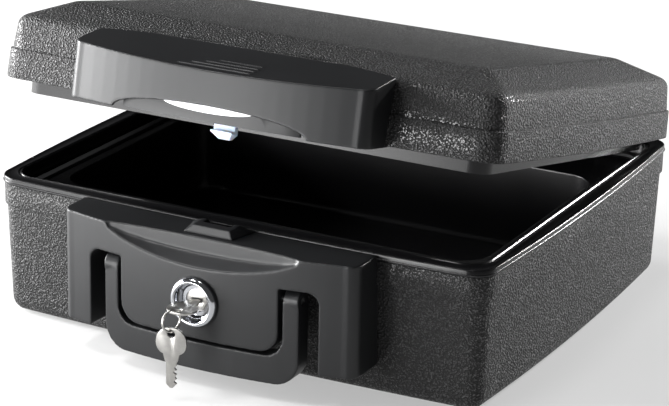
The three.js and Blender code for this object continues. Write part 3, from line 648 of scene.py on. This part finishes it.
def lid_shell_levels(shoulder):
    """Outside of the lid from its flat top to its lower edge, then up the inside."""
    crest = plan(HIP, 0, LID_TOP)
    corner = plan(CHEST, 4, LID_SHOULDER)
    slope = between(corner, crest, shoulder / 30)
    wall = plan(CHEST, 4 - shoulder * 0.1, LID_SHOULDER - shoulder)
    levels = eased(plan(HIP, 2.5, LID_TOP), crest, between(crest, corner, 0.07), 3)
    levels += eased(slope, corner, wall)
    seam = ((2.1, 116.2), (2.15, 115.5), (1.7, 115.2), (0.95, 115.15), (0.6, 114.85), (0.5, 114.2))
    lower = ((0.02, 97.4), (0.3, 96.4), (1.1, LID_BOTTOM), (3.8, LID_BOTTOM), (4.05, 96.4), (7, 132.7))
    levels += [plan(CHEST, inset, z) for inset, z in seam + lower]
    return levels + [plan(HIP, 2, 145.5)]


def tub_levels():
    """From the well's floor up to the rim, over its ridges and lip, and down the outside."""
    courses = (
        # the well's foot, wall and upper edge
        (WELL, ((3, 24), (1.2, 26), (0.3, 29), (0, 33), (0, 83), (-0.3, 84.1), (-1.2, 84.5))),
        # the ledge, the throat's wall and its edge
        (THROAT, ((1, 84.5), (0.25, 84.75), (0, 85.5), (0, 94.6), (-0.15, 95.1), (-0.6, 95.35))),
        # the inner ridge, the groove and the second ridge
        (THROAT, ((-1.1, 95.1), (-1.35, 94.6), (-1.75, 94.4), (-2.15, 94.6))),
        (THROAT, ((-2.4, 95.05), (-2.85, 95.25), (-3.3, 95.05), (-3.6, 94.75))),
        # the outer lip and the bead under it
        (CHEST, ((2.0, 94.75), (1.7, 95), (1.3, 95), (0.8, 94.75), (0.55, 94.2), (0.55, 92.2))),
        (CHEST, ((0.45, 91.9), (0.08, 91.7), (0, 91.3), (0.12, 90.75), (0.6, 90.5))),
        # the underside of the rim and the outside of the well
        (THROAT, ((-2.5, 90.5), (-2.5, 82.3), (-2.2, 82))),
        (WELL, ((-2.8, 82), (-2.5, 81.7), (-2.5, 22), (-1.5, 21.5))),
    )
    return [plan(size, inset, z) for size, course in courses for inset, z in course]


def paired_holes(xs, y, zs, length):
    """Screw holes along Y on both sides of the middle."""
    places = [(side * x, y, z) for side in (-1, 1) for x in xs for z in zs]
    return [(place, SCREW_HOLE, length, "Y") for place in places]


def hinge_holes(z):
    xs = (HINGE_X - HINGE_SCREW_OFFSET, HINGE_X + HINGE_SCREW_OFFSET)
    return paired_holes(xs, 152, (z,), 16)


class CHEST_OT_shells(bpy.types.Operator):
    """Outer shells of the base and the lid"""

    bl_idname = "chest.shells"
    bl_label = "Outer Shells"

    def execute(self, context):
        edges = context.scene.chest_edges
        base = lofted("base_shell", base_shell_levels(edges.foot))
        x, y, z = PLUG_PLACE
        plugs = [((side * x, y, z), PLUG_HOLE, 8, "Z") for side in (-1, 1)]
        panel_screws = paired_holes((FRONT_SCREW_X,), -150, PANEL_SCREW_Z, 24)
        drill(base, panel_screws + hinge_holes(BASE_LEAF_SCREW_Z) + plugs)
        settle(base, "base", "textured_shell", "base_outer_shell")
        lid = lofted("lid_shell", lid_shell_levels(edges.shoulder))
        cover_screws = paired_holes((FRONT_SCREW_X,), -146, (COVER_SCREW_Z,), 24)
        drill(lid, cover_screws + hinge_holes(LID_LEAF_SCREW_Z))
        open_lid(lid)
        settle(lid, "lid", "textured_shell", "lid_outer_shell")
        return {"FINISHED"}


class CHEST_OT_liners(bpy.types.Operator):
    """Inner tub with its rim, and the lid's inner shell"""

    bl_idname = "chest.liners"
    bl_label = "Tub and Lid Liner"

    def execute(self, context):
        edges = context.scene.chest_edges
        tub = lofted("base_tub", tub_levels())
        bpy.ops.object.shade_smooth_by_angle(angle=math.radians(50))
        settle(tub, "base", "smooth_shell", "base_inner_tub")
        softened_copy("lid_inner_shell", "lid_liner", "smooth_shell", edges.rim, segments=3)
        return {"FINISHED"}


class CHEST_OT_latch(bpy.types.Operator):
    """Latch cover with its lever, press pad and hook"""

    bl_idname = "chest.latch"
    bl_label = "Latch"

    def execute(self, context):
        edges = context.scene.chest_edges
        flowing_copy("latch_cover", "latch_hood", "satin_panel", edges.panel, grain=0.6)
        softened_copy("latch_paddle", "latch_lever", "satin_panel", 0.35)
        softened_copy("latch_press_pad", "press_pad", "white_pad", 0.3)
        softened_copy("latch_hook", "hook_block", "nylon", 0.5, segments=3)
        return {"FINISHED"}


class CHEST_OT_panel(bpy.types.Operator):
    """Front panel with its scoop, and the strike block"""

    bl_idname = "chest.panel"
    bl_label = "Front Panel"

    def execute(self, context):
        edges = context.scene.chest_edges
        flowing_copy("front_panel", "panel", "satin_panel", edges.panel, grain=0.7)
        flowing_copy("strike_block", "strike", "satin_panel", 0.5, grain=0.5)
        return {"FINISHED"}


class CHEST_OT_handle(bpy.types.Operator):
    """Fold-out carry handle and its pins"""

    bl_idname = "chest.handle"
    bl_label = "Carry Handle"

    def execute(self, context):
        flowing_copy("carry_handle", "handle", "satin_panel", 0.8, grain=0.6)
        for node in ("handle_pin_left", "handle_pin_right"):
            dress(node, "zinc")
        return {"FINISHED"}


class CHEST_OT_lock(bpy.types.Operator):
    """Cam lock"""

    bl_idname = "chest.lock"
    bl_label = "Cam Lock"

    def execute(self, context):
        softened_copy("lock_bezel", "bezel", "chrome", 0.25)
        softened_copy("lock_plug", "plug", "nickel", 0.2)
        dress("lock_body", "chrome")
        for node in ("lock_nut", "lock_cam", "lock_cam_screw"):
            dress(node, "zinc")
        return {"FINISHED"}


class CHEST_OT_keys(bpy.types.Operator):
    """Key in the lock, ring and spare key"""

    bl_idname = "chest.keys"
    bl_label = "Keys"

    def execute(self, context):
        softened_copy("lock_key", "key_in_lock", "nickel", 0.22)
        softened_copy("hanging_key", "spare_key", "nickel", 0.22)
        dress("key_ring", "nickel", 80)
        return {"FINISHED"}


class CHEST_OT_hinges(bpy.types.Operator):
    """Rear hinges with their pins and screws"""

    bl_idname = "chest.hinges"
    bl_label = "Hinges"

    def execute(self, context):
        for node in sorted(frame["nodes"]):
            if "hinge_leaf" in node:
                softened_copy(node, node.replace("hinge_leaf", "leaf"), "hinge_steel", 0.3)
            elif "hinge" in node:
                dress(node, "zinc")
        return {"FINISHED"}


class CHEST_OT_hidden(bpy.types.Operator):
    """Filling, seal, fill plugs, spring and the screws inside"""

    bl_idname = "chest.hidden"
    bl_label = "Inner Parts"

    def execute(self, context):
        for node in ("base_insulation", "lid_insulation"):
            dress(node, "insulation")
        for node in ("base_gasket", "base_fill_plug_left", "base_fill_plug_right"):
            dress(node, "seal")
        panel_screws = [f"panel_screw_{number}" for number in range(1, 5)]
        cover_screws = ["cover_screw_1", "cover_screw_2"]
        for node in ["latch_hook_screw", "latch_pivot_pin", "latch_spring"] + cover_screws + panel_screws:
            dress(node, "zinc")
        return {"FINISHED"}


# ---------------------------------------------------------------- stage
VIEW_PLACE = (0.76926, -1.47836, 0.64537)
VIEW_RIGHT = (0.88762, 0.46002, 0.0228)
VIEW_DOWN = (0.16943, -0.28007, -0.94491)
VIEW_AHEAD = (-0.42829, 0.84258, -0.32654)
VIEW_SENSOR = 36
VIEW_LENS = 140.56
VIEW_SHIFT = (-0.0456, -0.0136)

FLOOR_SIZE = 14
FLOOR_GLOW = 0.4
# The glow falls off between these two distances, from full to a fraction.
FLOOR_FADE = (1.15, 1.9, 1.0, 0.15)
# Brighter pools on the floor: middle and reach in metres, and how much they add.
GLOW_POOLS = (((-0.66, -0.55, 0), 0.7, 5.0), ((-0.3, -0.7, 0), 0.35, 26))

# The room's light fades towards this side, from and to these strengths.
REAR_DARK = (-0.42, 0.87, 0.26)
ROOM_FADE = (0.1, 0.9, 0.1, 0.03)

LIGHT_TARGET = (0, -0.05, 0.1)
# Name, place and size in metres, and power in watts.
SOFTBOXES = (
    ("above", (0, 0, 1.9), (0.3, 0.3), 6),
    ("upper left", (-0.75, -0.6, 1.7), (0.4, 0.35), 17),
    ("low left", (-1.5, -0.3, 0.42), (1.0, 0.75), 90),
    ("low front left", (-1.3, -0.95, 0.22), (0.5, 0.3), 11.8),
    ("low front", (-0.75, -1.4, 0.22), (0.5, 0.3), 6.7),
    ("low front right", (-0.35, -1.4, 0.22), (0.4, 0.3), 6.9),
    ("rear", (0.7, 1.45, 0.72), (0.22, 0.16), 22),
    ("low rear", (0.95, 1.2, 0.3), (0.16, 0.12), 13),
)


def soft_light(name, place, size, power):
    light = bpy.data.lights.new(name, "AREA")
    light.shape = "RECTANGLE"
    light.size, light.size_y = size
    light.energy = power
    lamp = bpy.data.objects.new(name, light)
    bpy.context.scene.collection.objects.link(lamp)
    lamp.location = place
    towards = Vector(LIGHT_TARGET) - Vector(place)
    lamp.rotation_euler = towards.to_track_quat("-Z", "Y").to_euler()


def glowing_paper():
    """Pale floor that glows like a light table, most in front and to the left of the chest."""
    paper = Finish("pale floor", Roughness=0.9, Specular_IOR_Level=0.1)
    paper.colour(paper.noise(3, 2.0), (0.34, 0.34, 0.34), (0.37, 0.37, 0.37))
    glow = FLOOR_GLOW
    for centre, reach, power in GLOW_POOLS:
        ends = {0: paper.place, 1: centre}
        away = paper.node("ShaderNodeVectorMath", {"operation": "DISTANCE"}, ends, out=1)
        glow = glow + paper.eased_range(away, 0.0, reach, power, 0.0)
    away = paper.node("ShaderNodeVectorMath", {"operation": "LENGTH"}, {0: paper.place}, out=1)
    glow = glow * paper.eased_range(away, *FLOOR_FADE)
    tint = paper.node("ShaderNodeCombineColor", inputs={0: glow, 1: glow, 2: glow})
    paper.tree.links.new(tint.socket, paper.shader.inputs["Emission Color"])
    paper.shader.inputs["Emission Strength"].default_value = 1.0
    return paper.material


def studio_world():
    """An even grey room with a darker corner behind on the left."""
    world = bpy.data.worlds.new("studio")
    world.use_nodes = True
    nodes, links = world.node_tree.nodes, world.node_tree.links
    place = nodes.new("ShaderNodeTexCoord")
    facing = nodes.new("ShaderNodeVectorMath")
    facing.operation = "DOT_PRODUCT"
    facing.inputs[1].default_value = REAR_DARK
    links.new(place.outputs["Generated"], facing.inputs[0])
    fade = nodes.new("ShaderNodeMapRange")
    fade.interpolation_type = "SMOOTHSTEP"
    for socket, value in zip(fade.inputs[1:5], ROOM_FADE):
        socket.default_value = value
    links.new(facing.outputs["Value"], fade.inputs[0])
    links.new(fade.outputs[0], nodes["Background"].inputs["Strength"])
    nodes["Background"].inputs["Color"].default_value = (1, 1, 1, 1)
    return world


class CHEST_OT_stage(bpy.types.Operator):
    """Pale floor, soft lights and the camera"""

    bl_idname = "chest.stage"
    bl_label = "Stage"

    def execute(self, context):
        deselect_all()
        bpy.ops.mesh.primitive_plane_add(size=FLOOR_SIZE, location=(0, 0, 0))
        floor = context.object
        floor.name = "floor"
        floor.data.materials.append(glowing_paper())
        context.scene.world = studio_world()
        for name, place, size, power in SOFTBOXES:
            soft_light(name, place, size, power)
        camera = bpy.data.cameras.new("view")
        camera.sensor_width = VIEW_SENSOR
        camera.lens = VIEW_LENS
        camera.shift_x, camera.shift_y = VIEW_SHIFT
        holder = bpy.data.objects.new("view", camera)
        context.scene.collection.objects.link(holder)
        columns = [VIEW_RIGHT, [-value for value in VIEW_DOWN], [-value for value in VIEW_AHEAD]]
        turn = Matrix(columns).transposed().to_4x4()
        holder.matrix_world = Matrix.Translation(VIEW_PLACE) @ turn
        context.scene.camera = holder
        context.scene.view_settings.view_transform = "Standard"
        return {"FINISHED"}


class CHEST_PT_panel(bpy.types.Panel):
    """Buttons that make the chest's pieces"""

    bl_label = "Document Chest"
    bl_idname = "CHEST_PT_panel"
    bl_space_type = "VIEW_3D"
    bl_region_type = "UI"
    bl_category = "Chest"

    def draw(self, context):
        for settings in (context.scene.chest_look, context.scene.chest_edges):
            for name in settings.__annotations__:
                self.layout.prop(settings, name)
        for operator in STEPS:
            self.layout.operator(operator.bl_idname)


STEPS = (
    CHEST_OT_stage,
    CHEST_OT_shells,
    CHEST_OT_liners,
    CHEST_OT_latch,
    CHEST_OT_panel,
    CHEST_OT_handle,
    CHEST_OT_lock,
    CHEST_OT_keys,
    CHEST_OT_hinges,
    CHEST_OT_hidden,
)
SETTINGS = {"chest_look": ChestLook, "chest_edges": ChestEdges}


def register():
    for settings in SETTINGS.values():
        bpy.utils.register_class(settings)
    for name, settings in SETTINGS.items():
        setattr(bpy.types.Scene, name, bpy.props.PointerProperty(type=settings))
    for step in STEPS:
        bpy.utils.register_class(step)
    bpy.utils.register_class(CHEST_PT_panel)


def unregister():
    bpy.utils.unregister_class(CHEST_PT_panel)
    for step in reversed(STEPS):
        bpy.utils.unregister_class(step)
    for name in SETTINGS:
        delattr(bpy.types.Scene, name)
    for settings in SETTINGS.values():
        bpy.utils.unregister_class(settings)


def main():
    register()
    for step in STEPS:
        section, action = step.bl_idname.split(".")
        getattr(getattr(bpy.ops, section), action)()
    deselect_all()


if __name__ == "__main__":
    main()
